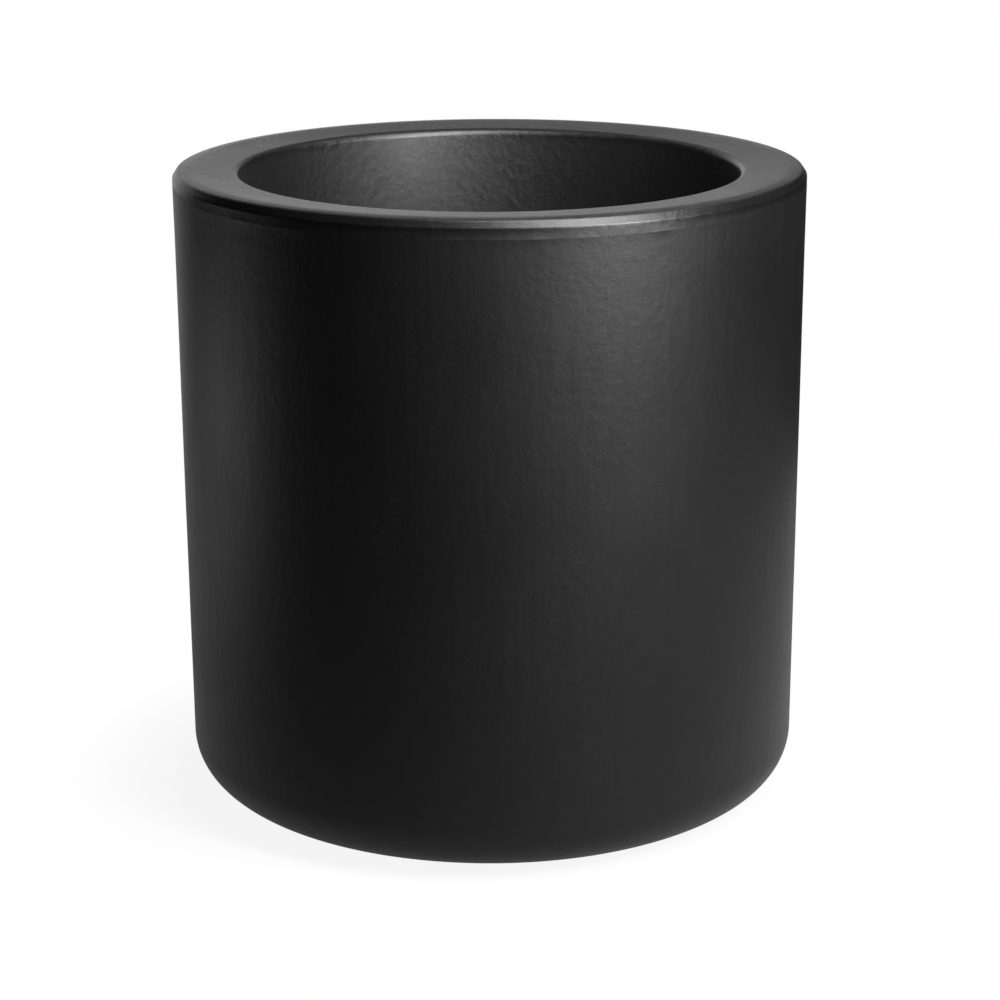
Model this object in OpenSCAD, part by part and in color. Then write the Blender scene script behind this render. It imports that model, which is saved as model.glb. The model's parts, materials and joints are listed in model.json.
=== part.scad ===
// Round double-walled planter that stands on four swivel castors hidden under its foot.
// Millimetres. The origin is on the ground under the planter's axis, +Z is up and -Y is the front.

/* [Planter shell] */
// Outer diameter, measured round the rim
shell_d = 490; // [420:5:640]
// Height of the moulding, from the plane of its foot to the crown of its rim
shell_h = 495; // [320:5:680]
// Thickness of the moulded skin
skin = 4.5; // [3.5:0.5:6]
// How much narrower the wall is at the foot than at the rim, on the radius
wall_draft = 1.5; // [1:0.5:8]
// Radius of the big rounded edge round the foot
foot_r = 40; // [30:1:55]
// Width of the flat ring that the foot leaves round the castor bay
foot_ring_w = 22; // [16:1:30]
// Height of the foot's plane above the ground
ground_gap = 7; // [4:0.5:14]

/* [Rim] */
// Width of the rim, from its outer edge to the wall of the pot
rim_w = 51; // [40:1:70]
// Radius of the rim's outer edge
rim_edge_r = 7; // [4:0.5:8]
// Width of the outer strip of the rim that falls away gently
rim_fall_w = 14; // [10:1:20]
// How far that strip falls before the edge turns down
rim_fall = 0.3; // [0.2:0.1:1.5]
// Radius of the lip where the rim turns down into the pot
lip_r = 5.5; // [5:0.5:10]
// How far the lip lies below the crown of the rim
lip_drop = 2.5; // [0.5:0.5:3]
// Distance of the mould's parting line below the crown
seam_drop = 14; // [10:1:30]
// How far the parting line stands proud of the wall
seam_proud = 0.3; // [0.1:0.1:0.5]
// Width of the parting line's crest
seam_w = 0.8; // [0.4:0.2:2]

/* [Pot] */
// How much narrower the pot is at its floor than at its lip, on the radius
pot_draft = 11; // [4:1:20]
// Radius between the wall and the floor of the pot
pot_corner_r = 32; // [15:1:45]
// Height of the hollow between the pot's floor and the ceiling of the castor bay
under_floor_gap = 22; // [18:1:60]
// Diameter of the drain hole
drain_d = 20; // [14:1:30]
// Diameter of the sunk seat round the drain hole
drain_seat_d = 44; // [38:1:60]
// Depth of that seat
drain_seat_h = 3.5; // [2.5:0.5:4]

/* [Castors] */
// Diameter of a castor wheel
wheel_d = 35; // [28:1:50]
// Width of a castor wheel's tread
tread_w = 15; // [12:0.5:24]
// Thickness of the tread round the wheel's core
tread_t = 4; // [3:0.5:6]
// How far the axle trails behind the swivel
trail = 13; // [9:0.5:20]
// Direction in which the forks trail, turned from straight out
heading = 100; // [0:5:355]
// Room between a swinging castor and the wall of its bay
bay_clear = 6; // [3:1:20]
// Thickness of the steel plates and forks
steel_t = 2; // [1.5:0.25:3]
// Diameter of the bearing balls
ball_d = 4; // [3:0.5:5]
// Diameter of the swivel's rivet
kingpin_d = 8; // [6:0.5:10]
// Diameter of the axle bolt
axle_d = 6; // [5:0.5:8]
// Diameter of the mounting screws
screw_d = 5; // [4:0.5:6]
// Length of the mounting screws under their heads
screw_l = 12; // [9:1:14]

/* [Hidden] */
$fn = 96;
CORNERS = [["rear_right", 45], ["rear_left", 135], ["front_left", 225], ["front_right", 315]];
CASTOR_PIECES = ["top_plate", "kingpin", "balls", "fork", "axle_bolt", "lock_nut", "bush", "wheel_core", "tread"];

// Clearances between pieces
fit = 0.05;        // radial running fit of a pin in its hole
race_gap = 0.1;    // between a ball and its track
side_gap = 0.1;    // between the bush and each cheek of the fork
hub_gap = 0.4;     // between the wheel's hub and each cheek of the fork
cheek_gap = 2;     // between the tread and each cheek of the fork
crown_gap = 6;     // between the tread and the rivet's lower head
skirt_gap = 0.6;   // between the dust skirt and the turning fork
head_gap = 1.3;    // between a screw head and the dust skirt

// Shell profile
rim_r = shell_d / 2;
seam_z = shell_h - seam_drop;
draft_a = atan(wall_draft / seam_z);
foot_c = [rim_r - wall_draft - foot_r, foot_r];
edge_c = [rim_r - rim_edge_r, shell_h - rim_fall - rim_edge_r];
crown_r = rim_r - rim_fall_w;
fall_a = atan(rim_fall / (rim_fall_w - rim_edge_r));
mouth_r = rim_r - rim_w;
lip_c = [mouth_r + lip_r, shell_h - lip_drop - lip_r];
inset_least = 0.5;
over = 1;

// Castor stack, measured up from the ground
wheel_r = wheel_d / 2;
core_r = wheel_r - tread_t;
tread_edge_r = 2.5;
hub_r = axle_d / 2 + 4.5;
bush_r = axle_d / 2 + 1;
cheek_in = tread_w / 2 + cheek_gap;
cheek_out = cheek_in + steel_t;
groove_depth = 0.9;
race_space = ball_d + 2 * race_gap - 2 * groove_depth;
pin_head_h = 2.5;
head_play = 0.1;
pin_bottom = wheel_d + crown_gap;
fork_low = pin_bottom + pin_head_h + head_play;
fork_top = fork_low + steel_t;
plate_low = fork_top + race_space;
castor_h = plate_low + steel_t;
cheek_half = 11.5;
fork_r = norm([cheek_half, cheek_out]);
race_r = (fork_r + kingpin_d / 2) / 2 + 1;
ball_count = floor(360 / (2 * asin((ball_d / 2 + 0.3) / race_r)));
axle_boss_r = axle_d / 2 + 4;
skirt_in = fork_r + skirt_gap;
skirt_t = 1.2;
skirt_h = race_space + 1;
screw_head_r = screw_d * 0.9;
screw_head_h = screw_d * 0.6;
screw_off = (skirt_in + skirt_t + head_gap + screw_head_r) / sqrt(2);
plate_edge = screw_d + 1;
plate_half = screw_off + plate_edge;
plate_corner_r = 6;

// Axle hardware
bush_l = 2 * (cheek_in - side_gap);
hub_w = 2 * (cheek_in - hub_gap);
bolt_head_r = axle_d * 0.96;
bolt_head_h = axle_d * 0.65;
nut_h = axle_d * 0.85;
nut_collar_h = 1.5;
bolt_end = 1;

// Castor bay
swing_r = max(norm([trail + wheel_r, tread_w / 2]), norm([trail + axle_boss_r, cheek_out + nut_h + nut_collar_h]));
bay_depth = castor_h - ground_gap;
bay_draft = 2;
bay_corner_r = 5;
bay_mouth_r = foot_c[0] - foot_ring_w;
bay_edge_r = 4;
castor_r = bay_mouth_r - bay_draft - bay_clear - swing_r;

// Inserts and their bosses
insert_r = screw_d / 2 + 1.5;
insert_l = screw_l - steel_t + 1;
boss_r = insert_r + 5;
boss_h = insert_l + 4;

// Pot floor
floor_z = bay_depth + skin + under_floor_gap + skin;
floor_r = mouth_r - pot_draft;
pot_c = [floor_r - pot_corner_r, floor_z + pot_corner_r];
pot_a = atan(pot_draft / (lip_c[1] - floor_z));

// Drain plug
plug_fit = 0.2;
plug_flange_h = 3;
plug_grip_r = 7;
plug_grip_h = 9;
plug_stem_l = 24;
plug_bead_r = 1.2;

// Colours
CHARCOAL = [0.13, 0.13, 0.135];
RUBBER = [0.10, 0.10, 0.10];
BRASS = [0.72, 0.58, 0.30];
ZINC = [0.70, 0.71, 0.72];
STEEL = [0.80, 0.80, 0.82];
NYLON = [0.22, 0.22, 0.23];
TREAD = [0.36, 0.36, 0.37];

// The point where a straight line from p touches a circle, on the side given by s
function touch(p, c, r, s) = let (
    d = c - p,
    a = atan2(d[1], d[0]) + s * asin(r / norm(d))
) p + sqrt(norm(d) ^ 2 - r ^ 2) * [cos(a), sin(a)];

// A point on a circle, in the direction a
function on_circle(c, r, a) = c + r * [cos(a), sin(a)];

// Outer form of the shell as a solid of turning, drawn i inside its real face
module body_profile(i) {
    edge_r = max(rim_edge_r - i, inset_least);
    inner_lip_r = max(lip_r - i, inset_least);
    crown = [crown_r, shell_h - i];
    polygon([
        [0, i],
        [foot_c[0], i],
        on_circle(foot_c, foot_r - i, -draft_a),
        [rim_r - i, seam_z],
        [edge_c[0] + edge_r, edge_c[1]],
        on_circle(edge_c, edge_r, 90 - fall_a),
        crown,
        touch(crown, lip_c, inner_lip_r, -1),
        [lip_c[0] - inner_lip_r, lip_c[1]],
        [0, lip_c[1]]
    ]);
    translate(foot_c) circle(foot_r - i);
    translate(edge_c) circle(edge_r);
    translate(lip_c) circle(inner_lip_r);
}

// Low ridge that the mould's parting line leaves round the wall
module seam_profile() {
    polygon([
        [rim_r - over, seam_z - seam_w],
        [rim_r + seam_proud, seam_z - seam_w / 2],
        [rim_r + seam_proud, seam_z + seam_w / 2],
        [rim_r - over, seam_z + seam_w]
    ]);
}

// Space inside the pot, drawn o outside its real face
module pot_profile(o) {
    polygon([
        [0, floor_z - o],
        [pot_c[0], floor_z - o],
        on_circle(pot_c, pot_corner_r + o, -pot_a),
        [mouth_r + o, lip_c[1]],
        [mouth_r + o, shell_h + over],
        [0, shell_h + over]
    ]);
    translate(pot_c) circle(pot_corner_r + o);
}

// Space of the castor bay under the foot, drawn o outside its real face
module bay_profile(o) {
    ceiling_r = bay_mouth_r - bay_draft;
    corner_c = [ceiling_r - bay_corner_r, bay_depth - bay_corner_r];
    polygon([
        [0, -over],
        [bay_mouth_r + o, -over],
        [bay_mouth_r + o, 0],
        [corner_c[0] + bay_corner_r + o, corner_c[1]],
        [corner_c[0], bay_depth + o],
        [0, bay_depth + o]
    ]);
    translate(corner_c) circle(bay_corner_r + o);
}

// Rounds the edge where the foot ring turns up into the bay
module bay_edge_profile() {
    difference() {
        translate([bay_mouth_r - over, -over]) square([bay_edge_r + over, bay_edge_r + over]);
        translate([bay_mouth_r + bay_edge_r, bay_edge_r]) circle(bay_edge_r);
    }
}

// Drain hole through both skins, with its sunk seat, drawn o outside its real face
module drain_profile(o) {
    translate([0, bay_depth - over]) square([drain_d / 2 + o, floor_z - bay_depth + 2 * over]);
    translate([0, floor_z - drain_seat_h - o]) square([drain_seat_d / 2 + o, drain_seat_h + o + over]);
}

// Sealed hollow between the two walls
module cavity_profile() {
    difference() {
        body_profile(skin);
        pot_profile(skin);
        bay_profile(skin);
        drain_profile(skin);
    }
}

// Places its children at each screw of each castor, on the ceiling of the bay
module at_screws() {
    for (c = CORNERS, x = [-1, 1], y = [-1, 1])
        at_castor(c[1]) translate([x * screw_off, y * screw_off, 0]) children();
}

// Places its children on the swivel axis of a castor, at the ceiling of the bay
module at_castor(a) {
    rotate([0, 0, a]) translate([castor_r, 0, castor_h]) children();
}

// The same, turned so that the fork trails along -X, with Z measured from the ground
module at_fork(a) {
    rotate([0, 0, a]) translate([castor_r, 0, 0]) rotate([0, 0, heading]) children();
}

// Places its children at the wheel's centre, with Z along the axle
module at_axle(a) {
    at_fork(a) translate([-trail, 0, wheel_r]) rotate([-90, 0, 0]) children();
}

module planter_shell() {
    color(CHARCOAL) difference() {
        union() {
            translate([0, 0, ground_gap]) rotate_extrude($fn = 240) difference() {
                union() {
                    body_profile(0);
                    seam_profile();
                }
                pot_profile(0);
                bay_profile(0);
                bay_edge_profile();
                drain_profile(0);
                cavity_profile();
            }
            at_screws() cylinder(r = boss_r, h = boss_h);
        }
        at_screws() translate([0, 0, -over]) cylinder(r = insert_r + fit, h = insert_l + over);
    }
}

module drain_plug() {
    seat_z = ground_gap + floor_z - drain_seat_h;
    color(RUBBER) translate([0, 0, seat_z]) rotate_extrude() {
        square([drain_seat_d / 2 - 2, plug_flange_h]);
        translate([0, -plug_stem_l]) square([drain_d / 2 - plug_fit, plug_stem_l + 1]);
        translate([plug_grip_r - 2.5, plug_grip_h - 2.5]) circle(2.5);
        square([plug_grip_r - 2.5, plug_grip_h]);
        square([plug_grip_r - 1.5, plug_grip_h - 4]);
        intersection() {
            translate([drain_d / 2 - plug_bead_r - plug_fit / 2, -plug_stem_l + 6]) circle(plug_bead_r);
            translate([0, -plug_stem_l]) square([drain_d, plug_stem_l]);
        }
    }
}

module threaded_inserts() {
    groove_w = 1;
    color(BRASS) at_screws() difference() {
        cylinder(r = insert_r, h = insert_l - fit);
        translate([0, 0, -over]) cylinder(r = screw_d / 2 + fit, h = insert_l + 2 * over);
        for (z = [insert_l * 0.3, insert_l * 0.65]) translate([0, 0, z]) difference() {
            cylinder(r = insert_r + over, h = groove_w);
            cylinder(r = insert_r - 0.5, h = groove_w);
        }
    }
}

module castor_screws() {
    slot_w = screw_d * 0.22;
    slot_l = screw_d * 1.05;
    color(ZINC) at_screws() difference() {
        union() {
            translate([0, 0, -steel_t]) cylinder(r = screw_d / 2, h = screw_l - 0.6);
            translate([0, 0, -steel_t - screw_head_h]) intersection() {
                cylinder(r = screw_head_r, h = screw_head_h);
                translate([0, 0, screw_head_r * 1.35]) sphere(r = screw_head_r * 1.55);
            }
        }
        for (a = [0, 90]) rotate([0, 0, a]) translate([0, 0, -steel_t - screw_head_h])
            cube([slot_l, slot_w, screw_head_h], center = true);
    }
}

module top_plate(a) {
    color(ZINC) at_castor(a) translate([0, 0, -steel_t]) difference() {
        union() {
            linear_extrude(steel_t) {
                square([2 * plate_half, 2 * (plate_half - plate_corner_r)], center = true);
                square([2 * (plate_half - plate_corner_r), 2 * plate_half], center = true);
                for (x = [-1, 1], y = [-1, 1])
                    translate([x, y] * (plate_half - plate_corner_r)) circle(plate_corner_r);
            }
            translate([0, 0, -skirt_h]) difference() {
                cylinder(r = skirt_in + skirt_t, h = skirt_h + steel_t / 2);
                translate([0, 0, -over]) cylinder(r = skirt_in, h = skirt_h + over);
            }
        }
        for (x = [-1, 1], y = [-1, 1]) translate([x * screw_off, y * screw_off, -over])
            cylinder(r = screw_d / 2 + 0.25, h = steel_t + 2 * over);
        translate([0, 0, -over]) cylinder(r = kingpin_d / 2 + fit, h = steel_t + 2 * over);
        translate([0, 0, -race_space / 2]) race_track();
        translate([0, 0, steel_t]) rotate_extrude() countersink_profile(fit);
    }
}

// Round track that the balls run in
module race_track() {
    rotate_extrude() translate([race_r, 0]) circle(ball_d / 2 + race_gap);
}

// Cone of the rivet's flush head, measured down from the plate's top
module countersink_profile(o) {
    depth = steel_t * 0.75;
    polygon([
        [0, -depth],
        [kingpin_d / 2 + o, -depth],
        [kingpin_d / 2 + depth + o, 0],
        [kingpin_d / 2 + depth + o, o > 0 ? over : 0],
        [0, o > 0 ? over : 0]
    ]);
}

module kingpin(a) {
    head_r = kingpin_d / 2 + 3.5;
    color(ZINC) at_castor(a) rotate_extrude() {
        translate([0, pin_bottom + 1 - castor_h]) square([kingpin_d / 2, castor_h - pin_bottom - 1]);
        countersink_profile(0);
        translate([0, pin_bottom - castor_h + 1]) square([head_r, pin_head_h - 1]);
        translate([0, pin_bottom - castor_h]) square([head_r - 1, pin_head_h]);
        translate([head_r - 1, pin_bottom - castor_h + 1]) circle(1);
    }
}

module balls(a) {
    color(STEEL) at_castor(a) for (k = [0:ball_count - 1])
        rotate([0, 0, 360 * k / ball_count])
            translate([race_r, 0, -steel_t - race_space / 2]) sphere(d = ball_d);
}

// Side of a fork, seen square on, from its crown down to the boss round the axle
module cheek_profile() {
    axle = [-trail, wheel_r];
    back = [-cheek_half, fork_top - steel_t / 2];
    front = [cheek_half, fork_top - steel_t / 2];
    polygon([
        back,
        touch(back, axle, axle_boss_r, -1),
        axle,
        touch(front, axle, axle_boss_r, 1),
        front
    ]);
    translate(axle) circle(axle_boss_r);
}

module fork(a) {
    color(ZINC) at_fork(a) difference() {
        union() {
            translate([0, 0, fork_low]) cylinder(r = fork_r, h = steel_t);
            for (y = [cheek_out, -cheek_in]) translate([0, y, 0])
                rotate([90, 0, 0]) linear_extrude(steel_t) cheek_profile();
        }
        translate([0, 0, fork_low - over]) cylinder(r = kingpin_d / 2 + fit, h = steel_t + 2 * over);
        translate([0, 0, fork_top + race_space / 2]) race_track();
        translate([-trail, 0, wheel_r]) rotate([-90, 0, 0])
            cylinder(r = axle_d / 2 + fit, h = 3 * cheek_out, center = true);
    }
}

module axle_bolt(a) {
    shank_l = 2 * cheek_out + nut_h + nut_collar_h + bolt_end;
    color(ZINC) at_axle(a) {
        translate([0, 0, -cheek_out]) cylinder(r = axle_d / 2, h = shank_l);
        translate([0, 0, -cheek_out - bolt_head_h]) intersection() {
            cylinder(r = bolt_head_r, h = bolt_head_h, $fn = 6);
            translate([0, 0, bolt_head_r]) sphere(r = bolt_head_r * 1.32);
        }
    }
}

module lock_nut(a) {
    color(ZINC) at_axle(a) translate([0, 0, cheek_out]) difference() {
        union() {
            cylinder(r = bolt_head_r, h = nut_h, $fn = 6);
            cylinder(r = bolt_head_r * 0.8, h = nut_h + nut_collar_h);
        }
        translate([0, 0, -over]) cylinder(r = axle_d / 2 + fit, h = nut_h + nut_collar_h + 2 * over);
    }
}

module bush(a) {
    color(STEEL) at_axle(a) difference() {
        cylinder(r = bush_r, h = bush_l, center = true);
        cylinder(r = axle_d / 2 + fit, h = bush_l + 2 * over, center = true);
    }
}

module wheel_core(a) {
    web_t = 5;
    rim_t = 2.5;
    color(NYLON) at_axle(a) difference() {
        union() {
            cylinder(r = hub_r, h = hub_w, center = true);
            cylinder(r = core_r, h = web_t, center = true);
            difference() {
                cylinder(r = core_r, h = tread_w - 1, center = true);
                cylinder(r = core_r - rim_t, h = tread_w + over, center = true);
            }
        }
        cylinder(r = bush_r + fit, h = hub_w + 2 * over, center = true);
    }
}

module tread(a) {
    half = tread_w / 2;
    color(TREAD) at_axle(a) rotate_extrude() {
        translate([core_r, -half + 0.5]) square([tread_t - tread_edge_r, tread_w - 1]);
        translate([core_r + 0.5, -half]) square([tread_t - tread_edge_r - 0.5, tread_w]);
        translate([core_r, tread_edge_r - half]) square([tread_t, tread_w - 2 * tread_edge_r]);
        for (y = [-1, 1]) intersection() {
            translate([wheel_r - tread_edge_r, y * (half - tread_edge_r)]) circle(tread_edge_r);
            translate([core_r, -half]) square([tread_t, tread_w]);
        }
    }
}

planter_shell();
drain_plug();
threaded_inserts();
castor_screws();
for (c = CORNERS) {
    top_plate(c[1]);
    kingpin(c[1]);
    balls(c[1]);
    fork(c[1]);
    axle_bolt(c[1]);
    lock_nut(c[1]);
    bush(c[1]);
    wheel_core(c[1]);
    tread(c[1]);
}
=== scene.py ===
import json
import math

import bmesh
import bpy
from mathutils import Matrix, Vector, noise


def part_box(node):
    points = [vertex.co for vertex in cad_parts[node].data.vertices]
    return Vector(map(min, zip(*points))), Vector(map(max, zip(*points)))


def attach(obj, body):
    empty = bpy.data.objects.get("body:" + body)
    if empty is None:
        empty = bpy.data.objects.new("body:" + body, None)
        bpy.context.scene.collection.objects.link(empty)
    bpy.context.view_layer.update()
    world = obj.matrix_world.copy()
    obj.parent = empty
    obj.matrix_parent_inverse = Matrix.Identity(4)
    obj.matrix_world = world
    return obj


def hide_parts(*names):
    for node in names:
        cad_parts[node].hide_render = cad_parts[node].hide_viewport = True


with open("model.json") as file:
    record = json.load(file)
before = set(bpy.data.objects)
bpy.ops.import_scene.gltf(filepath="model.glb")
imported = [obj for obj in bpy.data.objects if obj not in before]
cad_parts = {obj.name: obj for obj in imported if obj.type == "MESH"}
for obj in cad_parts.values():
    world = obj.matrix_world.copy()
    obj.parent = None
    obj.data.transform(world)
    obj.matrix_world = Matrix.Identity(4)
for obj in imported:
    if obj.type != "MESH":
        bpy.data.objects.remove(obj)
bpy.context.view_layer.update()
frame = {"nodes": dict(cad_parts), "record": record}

# %% [markdown]
# This file builds the looks of a round floor planter that rolls on four hidden castors.
# The construction is already there: every piece was loaded at its real size, in metres, +Z up.
# What is left is what a photographer would care about: the soft skin of the moulding, the bare
# metal and rubber of the castors, the light, and the camera. The first things kept are the record
# and the pieces of the loaded model. The looks may not grow past it.

# %% The record and the pieces as they were loaded
record = frame["record"]
nodes = frame["nodes"]

# %% [markdown]
# Every finish here is a network of shader nodes. Written out socket by socket such a network is
# hard to read, so one small class wraps an output socket and lets it be used in plain arithmetic.
# `1 - mask` or `grain * 0.3 + 0.7` then adds the Math nodes by itself. Colours and vectors must
# not go through Math nodes, which keep one channel only, so they have methods of their own.


# %% Arithmetic on sockets
def grey(level):
    """A neutral colour of that linear level."""
    return (level, level, level)


def feed(tree, socket, value):
    """Links an input socket to another socket, or writes a plain value into it."""
    if isinstance(value, Sock):
        tree.links.new(value.socket, socket)
    elif socket.type == "RGBA":
        socket.default_value = (*value, 1)
    else:
        socket.default_value = value


class Sock:
    """An output socket that can be added, subtracted and multiplied like a number."""

    def __init__(self, tree, socket):
        self.tree = tree
        self.socket = socket

    def _math(self, operation, *terms):
        node = self.tree.nodes.new("ShaderNodeMath")
        node.operation = operation
        for socket, term in zip(node.inputs, terms):
            feed(self.tree, socket, term)
        return Sock(self.tree, node.outputs[0])

    def __add__(self, other):
        return self._math("ADD", self, other)

    def __radd__(self, other):
        return self._math("ADD", other, self)

    def __sub__(self, other):
        return self._math("SUBTRACT", self, other)

    def __rsub__(self, other):
        return self._math("SUBTRACT", other, self)

    def __mul__(self, other):
        return self._math("MULTIPLY", self, other)

    def __rmul__(self, other):
        return self._math("MULTIPLY", other, self)

    def most(self, other):
        """The larger of the two."""
        return self._math("MAXIMUM", self, other)


print("sockets can be added, subtracted, multiplied and compared")

# %% [markdown]
# A material, the world and the floor all hold a node tree. One class adds nodes to any of them:
# a node's settings come first, since they can change which sockets it has, and then its sockets.
# A finish is such a tree that ends in the Principled shader, which suits plastic, metal and rubber.


# %% Adding nodes
class Nodes:
    """A node tree, and short ways to add nodes to it."""

    def __init__(self, tree):
        self.tree = tree
        self.tree.nodes.clear()

    def node(self, kind, settings=None, output=0, inputs=(), **named):
        """Adds a node and returns one output, or a list if several are asked for by name.

        Its inputs are given in their order, or by name with _ for a space."""
        made = self.tree.nodes.new(kind)
        for key, value in (settings or {}).items():
            if key == "stops":
                for element, (place, level) in zip(made.color_ramp.elements, value):
                    element.position = place
                    element.color = (*grey(level), 1)
            else:
                setattr(made, key, value)
        for socket, value in zip(made.inputs, inputs):
            feed(self.tree, socket, value)
        for key, value in named.items():
            feed(self.tree, made.inputs[key.replace("_", " ")], value)
        if isinstance(output, tuple):
            return [Sock(self.tree, made.outputs[name]) for name in output]
        return Sock(self.tree, made.outputs[output])

    def show(self, kind, shader):
        """Ends the tree: the shader goes into an output node of that kind."""
        end = self.tree.nodes.new(kind)
        feed(self.tree, end.inputs["Surface"], shader)

    def place(self):
        """Where a point is on the piece, in metres: what the patterns are laid out in."""
        return self.node("ShaderNodeTexCoord", output="Object")

    def parts(self, vector):
        """The three numbers of a vector."""
        return self.node("ShaderNodeSeparateXYZ", output=("X", "Y", "Z"), Vector=vector)

    def stretched(self, where, scale):
        """The same place with each axis scaled, so that a pattern runs long one way."""
        return self.node("ShaderNodeMapping", {"vector_type": "POINT"}, Vector=where, Scale=scale)

    def noise(self, where, scale, detail=2.0, roughness=0.5):
        """A cloudy pattern with that many blots in a metre."""
        return self.node(
            "ShaderNodeTexNoise", Vector=where, Scale=scale, Detail=detail, Roughness=roughness)

    def ramp(self, value, *stops):
        """Two stops, each a value and the level that it becomes."""
        return self.node("ShaderNodeValToRGB", {"stops": stops}, Fac=value)

    def tint(self, mask, low, high):
        """A colour that goes from low to high as the mask goes from 0 to 1."""
        made = self.tree.nodes.new("ShaderNodeMix")
        made.data_type = "RGBA"
        shown = [socket for socket in made.inputs if socket.enabled]
        for socket, value in zip(shown, (mask, low, high)):
            feed(self.tree, socket, value)
        return Sock(self.tree, next(socket for socket in made.outputs if socket.enabled))

    def relief(self, height, depth, under=None):
        """A bump of that depth in metres, on top of another if one is given."""
        below = {} if under is None else {"Normal": under}
        return self.node("ShaderNodeBump", Strength=1.0, Distance=depth, Height=height, **below)


class Finish(Nodes):
    """A material with the Principled shader at its end."""

    def __init__(self, name):
        self.material = bpy.data.materials.new(name)
        self.material.use_nodes = True
        super().__init__(self.material.node_tree)
        self.shader = self.tree.nodes.new("ShaderNodeBsdfPrincipled")
        self.show("ShaderNodeOutputMaterial", Sock(self.tree, self.shader.outputs[0]))

    def set(self, **values):
        """Values or links on the shader's own sockets."""
        for key, value in values.items():
            feed(self.tree, self.shader.inputs[key.replace("_", " ")], value)


print("a finish is a material whose sockets are set by name")

# %% [markdown]
# The planter is one hollow moulding. Plastic powder was tumbled in a hot mould until it had run
# over every wall, which leaves soft radii, a slightly uneven skin and a fine line where the halves
# of the mould met. A lathe makes such a form: one outline, turned round the axis. It could be a
# screw modifier on a curve, but turning it by hand lets each point of the skin wander a little
# and lets the parting line come and go, as it does where the flash was trimmed with a knife.
# The outline starts at the drain hole, runs out under the foot, up the wall, over the rim and
# down into the pot. Its sizes repeat the construction's, in millimetres, and the outermost ones
# are read from the loaded model.

# %% Sizes of the shell, in mm
MM = 0.001
shell_low, shell_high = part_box("planter_shell")
rim_top = shell_high.z / MM
foot_plane = shell_low.z / MM
seam_proud = 0.3
seam_drop = 14.0
seam_w = 0.8
rim_r = shell_high.x / MM - seam_proud
rim_w = 51.0
rim_edge_r = 7.0
rim_fall_w = 14.0
rim_fall = 0.3
lip_r = 5.5
lip_drop = 2.5
wall_draft = 1.5
foot_r = 40.0
foot_ring_w = 22.0
skin_t = 4.5
print(f"rim: radius {rim_r:.1f} mm, top at {rim_top:.1f} mm, foot at {foot_plane:.1f} mm")

# %% Sizes of the pot and the castor bay, in mm
pot_draft = 11.0
pot_corner_r = 32.0
bay_draft = 2.0
bay_corner_r = 5.0
bay_edge_r = 4.0
drain_r = 10.0
drain_seat_r = 22.0
drain_seat_h = 3.5
drain_edge_r = 1.2
under_floor_gap = 22.0
bay_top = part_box("front_left_top_plate")[1].z / MM
pot_floor = bay_top + 2 * skin_t + under_floor_gap
print(f"bay ceiling at {bay_top:.1f} mm, pot floor at {pot_floor:.1f} mm")


# %% Helpers for outlines
def arc(centre, radius, start, end, steps):
    """Points on a circle, from one direction to the other, in degrees."""
    points = []
    for k in range(steps + 1):
        a = math.radians(start + (end - start) * k / steps)
        points.append((centre[0] + radius * math.cos(a), centre[1] + radius * math.sin(a)))
    return points


def line(first, last, steps):
    """Points between two places, without either of them."""
    return [
        tuple(a + (b - a) * k / steps for a, b in zip(first, last))
        for k in range(1, steps)
    ]


def joined(*pieces):
    """One outline out of several, with long gaps filled, so that no quad is very long."""
    points = []
    shortest, longest = 0.01, 7.0
    for piece in pieces:
        for point in piece:
            if points:
                gap = math.dist(points[-1], point)
                if gap < shortest:
                    continue
                if gap > longest:
                    points += line(points[-1], point, math.ceil(gap / longest))
            points.append(point)
    return points


print("an outline can be joined from arcs and lines")

# %% [markdown]
# The outer edge of the rim looks like a plain rounding, but in light it shows a bright band of one
# even tone with a sharp lower end. A rounding would shade softly from bright to dark, so the edge
# has a slight bevel between two short roundings. It lies inside the construction's own edge.

# %% Where the outline's arcs are
foot_c = (rim_r - wall_draft - foot_r, foot_plane + foot_r)
seam_z = rim_top - seam_drop
lean = math.degrees(math.atan(wall_draft / (seam_z - foot_plane)))
edge_c = (rim_r - rim_edge_r, rim_top - rim_fall - rim_edge_r)
crown_r = rim_r - rim_fall_w
mouth_r = rim_r - rim_w
lip_c = (mouth_r + lip_r, rim_top - lip_drop - lip_r)
dish = math.degrees(math.atan(lip_drop / (crown_r - lip_c[0])))
bay_mouth_r = foot_c[0] - foot_ring_w
bay_ceiling_r = bay_mouth_r - bay_draft
bay_lean = math.degrees(math.atan(bay_draft / (bay_top - foot_plane)))
pot_c = (mouth_r - pot_draft - pot_corner_r, pot_floor + pot_corner_r)
pot_lean = math.degrees(math.atan(pot_draft / (lip_c[1] - pot_floor)))
bay_corner_c = (bay_ceiling_r - bay_corner_r, bay_top - bay_corner_r)
bay_edge_c = (bay_mouth_r + bay_edge_r, foot_plane + bay_edge_r)
print(f"the wall leans by {lean:.2f} degrees and the pot's by {pot_lean:.2f}")

# %% The outline of the shell
# The bevel's ends and the edge's last point, in degrees round the centre of the edge.
bevel_low, bevel_high, edge_end = 13, 57, 75
bevel_ends = [arc(edge_c, rim_edge_r, a, a, 1)[0] for a in (bevel_low, bevel_high)]
# The parting line: how far up in widths of the line, and out in parts of its height.
seam_form = ((-1.1, 0), (-0.7, 0.5), (-0.25, 1), (0.25, 1), (0.7, 0.5), (1.1, 0))
# The flat from the edge to just past the crown: how far in, and how far below the top.
flat_form = ((8.3, 0.34), (8.9, 0.2), (rim_fall_w - 1, 0.05), (rim_fall_w + 1, 0.08))
ceiling_dip = 0.001

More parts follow.
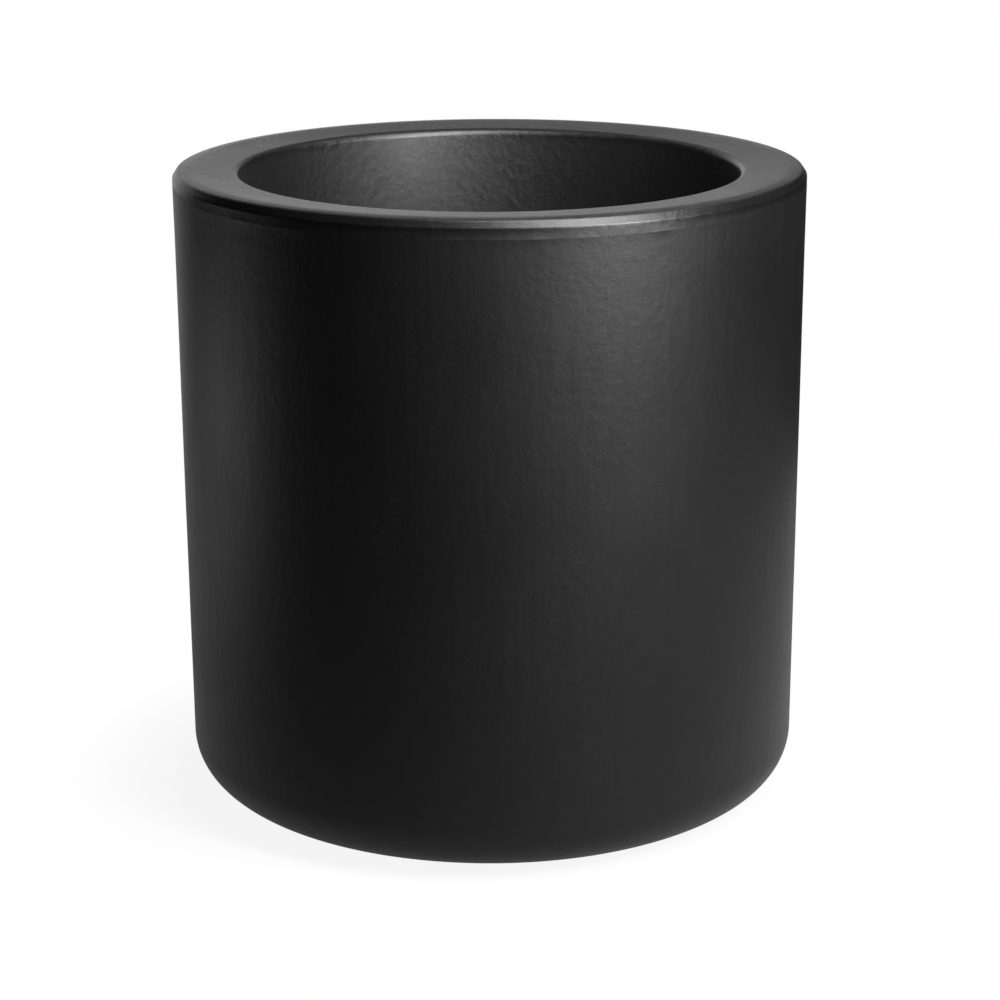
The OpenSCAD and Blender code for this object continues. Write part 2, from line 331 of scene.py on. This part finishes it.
outline = joined(
    [(drain_r, bay_top - ceiling_dip)],
    arc(bay_corner_c, bay_corner_r, 90, bay_lean, steps=8),
    arc(bay_edge_c, bay_edge_r, 180 + bay_lean, 270, steps=8),
    arc(foot_c, foot_r, 270, 360 - lean, steps=40),
    [(rim_r + out * seam_proud, seam_z + up * seam_w) for up, out in seam_form],
    arc(edge_c, rim_edge_r, 0, bevel_low, steps=3),
    line(*bevel_ends, steps=10),
    arc(edge_c, rim_edge_r, bevel_high, edge_end, steps=5),
    [(rim_r - inwards, rim_top - below) for inwards, below in flat_form],
    arc(lip_c, lip_r, 90 + dish, 180 + pot_lean, steps=18),
    arc(pot_c, pot_corner_r, 360 - pot_lean, 270, steps=20),
    arc((drain_seat_r + drain_edge_r, pot_floor - drain_edge_r), drain_edge_r, 90, 180, steps=4),
    arc((drain_seat_r - drain_edge_r, pot_floor - drain_seat_h + drain_edge_r),
        drain_edge_r, 0, -90, steps=4),
    arc((drain_r + drain_edge_r, pot_floor - drain_seat_h - drain_edge_r),
        drain_edge_r, 90, 180, steps=4),
)
print(len(outline), "points in the shell's outline")


# %% Turning the outline
def turned(name, points, turns, moved):
    """A closed ring of quads: the outline copied round the axis, each point moved by the rule."""
    rows = bmesh.new()
    grid = []
    for k in range(turns):
        a = 2 * math.pi * k / turns
        ring = []
        for point in points:
            r, z = moved(*point, a)
            ring.append(rows.verts.new((r * math.cos(a) * MM, r * math.sin(a) * MM, z * MM)))
        grid.append(ring)
    count = len(points)
    for k in range(turns):
        here, there = grid[k], grid[(k + 1) % turns]
        for m in range(count):
            n = (m + 1) % count
            rows.faces.new((here[m], there[m], there[n], here[n]))
    bmesh.ops.recalc_face_normals(rows, faces=rows.faces)
    for face in rows.faces:
        face.smooth = True
    crease = math.radians(40)
    for edge in rows.edges:
        edge.smooth = edge.calc_face_angle(0) < crease
    mesh = bpy.data.meshes.new(name)
    rows.to_mesh(mesh)
    rows.free()
    piece = bpy.data.objects.new(name, mesh)
    bpy.context.scene.collection.objects.link(piece)
    return piece


print("an outline can be turned into a piece")

# %% [markdown]
# A real wall of this kind is never quite true: it wanders by a few tenths of a millimetre, as the
# streak of light on it shows. The parting line keeps its place but changes its height. Each rule
# only moves a point into the moulding, so that the skin stays inside the construction's box, and
# the wander fades out next to the parting line and the rim, where an edge has to stay crisp.

# %% The uneven skin
wander = 0.35
fade_h = 40
still_top = 9
rim_face_drop = 3


def drift(a, height, round_scale):
    """Smooth noise between about -1 and 1. A larger scale changes faster round the planter."""
    return noise.noise(Vector((round_scale * math.cos(a), round_scale * math.sin(a), height)))


def uneven_skin(r, z, a):
    """Where a point of the outline goes at the angle a."""
    slow = drift(a, z / 170, 1.7) + 0.5 * drift(a, z / 70, 4)
    inwards = wander * (0.5 + 0.45 * max(-1.0, min(1.0, slow)))
    if abs(z - seam_z) < 1.5 * seam_w and r > rim_r - 1:
        trim = 0.25 + 0.3 * max(-0.8, min(1.0, 1.8 * drift(a, 3.1, 9)))
        return rim_r + (r - rim_r) * trim, z
    if r > mouth_r + 20 and z < rim_top - still_top:
        return r - inwards * min(1.0, abs(z - seam_z) / fade_h), z
    if r < mouth_r + 1 and pot_floor + 20 < z < rim_top - still_top:
        return r + inwards * min(1.0, (rim_top - still_top - z) / fade_h), z
    if z > rim_top - rim_face_drop and mouth_r + lip_r < r < crown_r:
        return r, z - 0.3 * inwards
    return r, z


shell = turned("shell_skin", outline, 360, uneven_skin)
print(len(shell.data.polygons), "faces on the shell")

# %% [markdown]
# The skin of such a moulding is a satin black. Seen close, it has a fine pebble from the mould, a
# slower orange peel under it, and faint upright drag marks where the piece was pulled from the
# mould. The rim is where hands and tools rub, so it is smoother than the wall, and dust settles on
# what faces upwards. The pot's inner wall has a coarser grain and a soft sheen, which a thin coat
# with a roughness of its own gives. A flat colour with one roughness would look like paint, so
# each of these varies at its own scale.

# %% Satin black skin
darkest, lightest = grey(0.003), grey(0.0065)
dust_colour = (0.06, 0.06, 0.058)
pebble_depth, drag_depth, peel_depth = 0.00016, 0.00005, 0.00025
worn_from, worn_to = 12, 7


def shell_finish():
    f = Finish("charcoal_moulding")
    where = f.place()
    facing = f.node("ShaderNodeNewGeometry", output="Normal")
    x, y, high = f.parts(where)
    out_x, out_y, up = f.parts(facing)
    inside = f.ramp((x * out_x + y * out_y) * -5, (0.3, 0.0), (0.7, 1.0))
    worn = f.node(
        "ShaderNodeMapRange", Value=high,
        From_Min=(rim_top - worn_from) * MM, From_Max=(rim_top - worn_to) * MM)
    cloud = f.noise(where, 9.0, 3.0)
    drag = f.noise(f.stretched(where, (1, 1, 0.06)), 260.0)
    peel = f.noise(where, 150.0)
    pebble = f.noise(where, 1500.0, roughness=0.6)
    lying = f.ramp(up, (0.6, 0.0), (0.95, 1.0))
    dust = f.ramp(f.noise(where, 55.0, 4.0, 0.65), (0.35, 0.0), (0.75, 1.0)) * lying
    colour = f.tint(cloud * 0.7 + pebble * 0.3, darkest, lightest)
    rough = (cloud - 0.5) * 0.10 + (drag - 0.5) * 0.10 + dust * 0.05 + 0.45
    peeled = f.relief(peel * (inside * 1.5 + 1), peel_depth)
    dragged = f.relief(drag, drag_depth, peeled)
    f.set(
        Base_Color=f.tint(dust * 0.22, colour, dust_colour),
        Roughness=rough - worn * 0.13,
        Coat_Weight=inside * 0.6,
        Coat_Roughness=0.35,
        Metallic=0.0,
        IOR=1.5,
        Normal=f.relief(pebble * (inside + 1), pebble_depth, dragged),
    )
    return f.material


shell.data.materials.append(shell_finish())
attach(shell, "planter")
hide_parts("planter_shell")
print("the shell has", len(shell.data.materials[0].node_tree.nodes), "shader nodes")

# %% [markdown]
# The pieces under the foot keep their own shapes: they are pressed steel, turned steel and rubber,
# and the loaded meshes hold every bend and hole. They only need what the metal and the rubber look
# like. Zinc plate is bright but never even: it has a faint spangle and it dulls where it was bent.
# The balls are greased, the brass is tarnished and shows the marks of the lathe, and rubber and
# nylon are dull with a fine grain.

# %% Finishes of the metal pieces
def zinc_finish(name, level, roughness):
    f = Finish(name)
    where = f.place()
    spangle = f.node(
        "ShaderNodeTexVoronoi", {"feature": "F1"}, output="Color", Vector=where, Scale=700.0)
    patch = f.ramp(spangle, (0.2, 0.0), (0.8, 1.0))
    cloud = f.noise(where, 120.0, 3.0)
    scratch = f.noise(f.stretched(where, (1, 8, 1)), 900.0)
    dull, bright = grey(level * 0.86), (level, level, level * 0.99)
    f.set(
        Base_Color=f.tint(patch * 0.5 + cloud * 0.5, dull, bright),
        Metallic=1.0,
        Roughness=(cloud - 0.5) * 0.18 + (scratch - 0.5) * 0.12 + roughness,
        Normal=f.relief(scratch, 0.00002),
    )
    return f.material


def bearing_finish():
    f = Finish("bearing_steel")
    grease = f.ramp(f.noise(f.place(), 420.0, 3.0), (0.4, 0.0), (0.7, 1.0))
    clean, greasy = grey(0.62), (0.42, 0.38, 0.28)
    f.set(
        Base_Color=f.tint(grease, clean, greasy),
        Metallic=1.0,
        Roughness=grease * 0.15 + 0.16,
        Normal=f.relief(grease, 0.00002),
    )
    return f.material


def brass_finish():
    f = Finish("turned_brass")
    where = f.place()
    tarnish = f.ramp(f.noise(where, 500.0, 3.0), (0.35, 0.0), (0.75, 1.0))
    turning = f.noise(f.stretched(where, (1, 1, 30)), 700.0, 1.0)
    fresh, tarnished = (0.66, 0.47, 0.19), (0.42, 0.29, 0.12)
    f.set(
        Base_Color=f.tint(tarnish, fresh, tarnished),
        Metallic=1.0,
        Roughness=tarnish * 0.15 + turning * 0.1 + 0.22,
        Normal=f.relief(turning, 0.00003),
    )
    return f.material


print("zinc, bearing steel and brass are ready")


# %% Finishes of the rubber and nylon pieces
def rubber_finish(name, low, high, roughness):
    f = Finish(name)
    where = f.place()
    bloom = f.ramp(f.noise(where, 90.0, 4.0, 0.6), (0.35, 0.0), (0.75, 1.0))
    grain = f.noise(where, 2600.0, roughness=0.6)
    f.set(
        Base_Color=f.tint(bloom * 0.7 + grain * 0.3, low, high),
        Roughness=bloom * 0.12 + (grain - 0.5) * 0.1 + roughness,
        Specular_IOR_Level=0.35,
        Normal=f.relief(grain, 0.00004),
    )
    return f.material


def nylon_finish():
    f = Finish("moulded_nylon")
    where = f.place()
    flow = f.noise(where, 60.0, 3.0)
    grain = f.noise(where, 1900.0)
    f.set(
        Base_Color=f.tint(flow, grey(0.022), grey(0.034)),
        Roughness=(flow - 0.5) * 0.2 + (grain - 0.5) * 0.1 + 0.42,
        Normal=f.relief(grain, 0.00003),
    )
    return f.material


print("rubber and nylon are ready")

# %% Putting the finishes on the loaded pieces
tread_low, tread_high = (0.05, 0.05, 0.052), (0.08, 0.08, 0.082)
slot_finishes = {
    "plug_rubber": rubber_finish("plug_rubber", grey(0.012), grey(0.024), 0.58),
    "insert_brass": brass_finish(),
    "screw_zinc": zinc_finish("screw_zinc", 0.66, 0.24),
    "pressed_steel": zinc_finish("pressed_steel", 0.58, 0.34),
    "rivet_steel": zinc_finish("rivet_steel", 0.55, 0.30),
    "bearing_steel": bearing_finish(),
    "wheel_nylon": nylon_finish(),
    "tread_rubber": rubber_finish("tread_rubber", tread_low, tread_high, 0.62),
}
node_slots = {row["node"]: row["material_slot"] for row in record["subparts"]}
for name, piece in nodes.items():
    slot_name = node_slots[name]
    if slot_name in slot_finishes:
        piece.data.materials.clear()
        piece.data.materials.append(slot_finishes[slot_name])
print(len(slot_finishes), "finishes on", len(nodes), "pieces")

# %% [markdown]
# The camera stands where the photographer's did. It was found by fitting the outline of the wall,
# the rim and the opening: 2.05 m in front of the axis, 0.83 m up, looking down by 16.4 degrees
# through a lens that would be 95 mm on a full frame. That long lens is why the wall narrows so
# little towards the floor. Its three directions are built by hand, because the fit gives angles:
# first where it looks, then what is on its right and above it, and last a slight roll.

# %% Camera
camera_away = 2.0468
camera_high = 0.8257 + foot_plane * MM
camera_down = 0.28665
camera_turn = 0.003455
camera_roll = -0.003703
focal_px = 2651.5
frame_px = 1000

lens = bpy.data.cameras.new("lens")
lens.sensor_width = 36.0
lens.lens = focal_px * lens.sensor_width / frame_px
lens.clip_start = 0.05
lens.clip_end = 50.0
camera = bpy.data.objects.new("camera", lens)
bpy.context.scene.collection.objects.link(camera)
ahead = Vector((
    math.sin(camera_turn) * math.cos(camera_down),
    math.cos(camera_turn) * math.cos(camera_down),
    -math.sin(camera_down),
))
aside = ahead.cross(Vector((0, 0, 1))).normalized()
above = aside.cross(ahead)
roll = Matrix.Rotation(-camera_roll, 3, ahead)
aside, above = roll @ aside, roll @ above
camera.matrix_world = Matrix((
    (aside.x, above.x, -ahead.x, 0.0),
    (aside.y, above.y, -ahead.y, -camera_away),
    (aside.z, above.z, -ahead.z, camera_high),
    (0, 0, 0, 1),
))
bpy.context.scene.camera = camera
print(f"lens {lens.lens:.1f} mm, {camera_away:.3f} m away")

# %% [markdown]
# A black satin object is drawn by its reflections, so the lamps are placed for what each face
# mirrors. A tall soft box stands to the right and in front: it gives the broad upright streak on
# the wall and the bright line along the rim's edge. A narrow one nearer the height of the mouth
# shines into the pot. A low one to the left lifts that side of the wall out of the black, and a
# weak one above and behind opens up the rim.

# %% Lamps
lamp_target = Vector((0, 0, 0.35))


def soft_box(name, azimuth, elevation, away, width, height, power):
    """A rectangular lamp turned towards the planter: azimuth 0 is in front, 90 to its right."""
    data = bpy.data.lights.new(name, "AREA")
    data.shape = "RECTANGLE"
    data.size = width
    data.size_y = height
    data.energy = power
    swing, rise = math.radians(azimuth), math.radians(elevation)
    level = away * math.cos(rise)
    lamp = bpy.data.objects.new(name, data)
    lamp.location = lamp_target + Vector(
        (level * math.sin(swing), -level * math.cos(swing), away * math.sin(rise)))
    lamp.rotation_euler = (lamp_target - lamp.location).to_track_quat("-Z", "Y").to_euler()
    bpy.context.scene.collection.objects.link(lamp)
    print(f"{name}: {power} W at {azimuth} and {elevation} degrees")


soft_box("tall_key", azimuth=36.5, elevation=47.5, away=0.80, width=0.38, height=1.12, power=16.8)
soft_box("inner_key", azimuth=43.0, elevation=17.0, away=1.15, width=0.14, height=0.40, power=8.0)
soft_box(
    "left_strip", azimuth=-98.0, elevation=-12.0, away=1.02, width=0.45, height=0.26, power=0.52)
soft_box("rim_light", azimuth=162.2, elevation=58.2, away=0.768, width=0.79, height=0.31, power=0.3)

# %% [markdown]
# The rest of the light is the white background itself. The camera and clear things see all of it,
# where a strength of 1 is white. Glossy reflections see the part behind the planter, which lights
# the flat rim. A room that is white all round would wash the black wall out to grey, so the other
# directions stay dark for reflections.

# %% Room
dim = 0.005
world = bpy.data.worlds.new("room")
bpy.context.scene.world = world
world.use_nodes = True
room = Nodes(world.node_tree)
ray_x, ray_y, rising = room.parts(room.node("ShaderNodeTexCoord", output="Generated"))
behind = room.ramp(ray_y * 0.98 - ray_x * 0.2, (0.86, 0.0), (0.97, 1.0))
band = room.ramp(rising + 0.5, (0.72, 1.0), (0.96, 0.0))
camera_ray, clear_ray, glossy_ray = room.node(
    "ShaderNodeLightPath", output=("Is Camera Ray", "Is Transmission Ray", "Is Glossy Ray"))
strength = camera_ray.most(clear_ray).most(glossy_ray * behind * band).most(dim)
sky = room.node("ShaderNodeBackground", Color=grey(1.0), Strength=strength)
room.show("ShaderNodeOutputWorld", sky)
print("the room is white for the camera and", dim, "for the light on the planter")

# %% [markdown]
# The floor is a pale disc that carries the planter's shadow. Near the planter it is paper, lit by
# the lamps. Further out it glows as white as the background, so that the two meet without a line.
# Reflections see a floor of their own: brighter to the right, behind and close to the foot, which
# is what lifts the lower wall on its right side. It throws little light back on the object.

# %% Floor
floor_r_m = 1.0
floor_mesh = bpy.data.meshes.new("floor")
disc = bmesh.new()
bmesh.ops.create_circle(disc, cap_ends=True, segments=96, radius=floor_r_m)
disc.to_mesh(floor_mesh)
disc.free()
floor = bpy.data.objects.new("floor", floor_mesh)
bpy.context.scene.collection.objects.link(floor)
print("floor disc with a radius of", floor_r_m, "m")


# %% Finish of the floor
def floor_finish():
    material = bpy.data.materials.new("pale_floor")
    material.use_nodes = True
    f = Nodes(material.node_tree)
    where = f.place()
    from_axis = f.node(
        "ShaderNodeVectorMath", {"operation": "LENGTH"}, output="Value", inputs=(where,))
    bearing = f.node("ShaderNodeVectorMath", {"operation": "NORMALIZE"}, inputs=(where,))
    to_right, to_back, _ = f.parts(bearing)
    camera_ray, clear_ray, glossy_ray = f.node(
        "ShaderNodeLightPath", output=("Is Camera Ray", "Is Transmission Ray", "Is Glossy Ray"))
    directly_seen = camera_ray.most(clear_ray)
    away = f.ramp(from_axis, (0.25, 0.90), (0.36, 1.0))
    bright_side = f.ramp(to_right * 0.32 + to_back * 0.38 + 0.5, (0.0, 0.08), (1.0, 0.62))
    near_foot = f.ramp(from_axis, (0.26, 0.20), (0.45, 0.0))
    share = away * directly_seen + glossy_ray * (bright_side + near_foot)
    paper = f.node("ShaderNodeBsdfDiffuse", Color=f.tint(directly_seen, grey(0.06), grey(1.0)))
    glow = f.node("ShaderNodeEmission", Color=grey(1.0), Strength=1.0)
    mixed = f.node("ShaderNodeMixShader", inputs=(share, paper, glow))
    f.show("ShaderNodeOutputMaterial", mixed)
    return material


floor.data.materials.append(floor_finish())
bpy.context.scene.view_settings.view_transform = "Standard"
print("the floor has", len(floor.data.materials[0].node_tree.nodes), "shader nodes")
